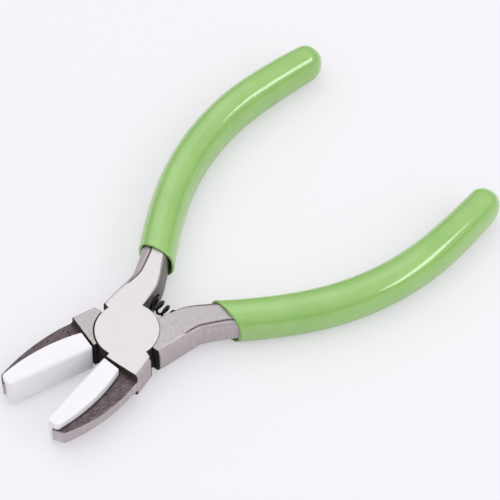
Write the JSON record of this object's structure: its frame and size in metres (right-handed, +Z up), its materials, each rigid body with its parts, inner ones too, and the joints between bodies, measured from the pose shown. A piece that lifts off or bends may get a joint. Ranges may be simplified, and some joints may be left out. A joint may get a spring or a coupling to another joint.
{
  "type": "nylon jaw flat nose pliers",
  "caption": "Small sprung jewellery pliers: lap-jointed steel halves, white nylon jaw pads and green dipped grips.",
  "frame": {"origin": "on the pivot axis, at the ground flat face of the joint's underside", "axes": "+Z up along the pivot axis, +Y towards the jaw tips, +X towards the handle of the front half, which carries the upper boss"},
  "size_m": [0.0752, 0.1256, 0.011],
  "materials": {
    "front_steel": "ground bright on the top and bottom faces, satin sides, dark rough recesses",
    "back_steel": "ground satin, a shade greyer than the front half",
    "rivet_steel": "ground flush with the joint",
    "spring_steel": "black oiled spring wire",
    "nylon": "moulded white nylon, satin",
    "dipped_vinyl": "dipped soft vinyl, semi-gloss leaf green"
  },
  "bodies": {
    "back_body": {"back_half": "back_steel", "pivot_rivet": "rivet_steel", "return_spring": "spring_steel", "back_pad": "nylon", "back_grip": "dipped_vinyl"},
    "front_body": {"front_half": "front_steel", "front_pad": "nylon", "front_grip": "dipped_vinyl"}
  },
  "joints": [
    {"name": "pivot", "type": "hinge", "parent": "back_body", "child": "front_body", "pos_m": [0, 0, 0], "axis": [0, 0, 1], "range_deg": [-22.9, 11.5], "stiffness_Nm_per_rad": 0.45, "deforming": ["return_spring"]}
  ]
}
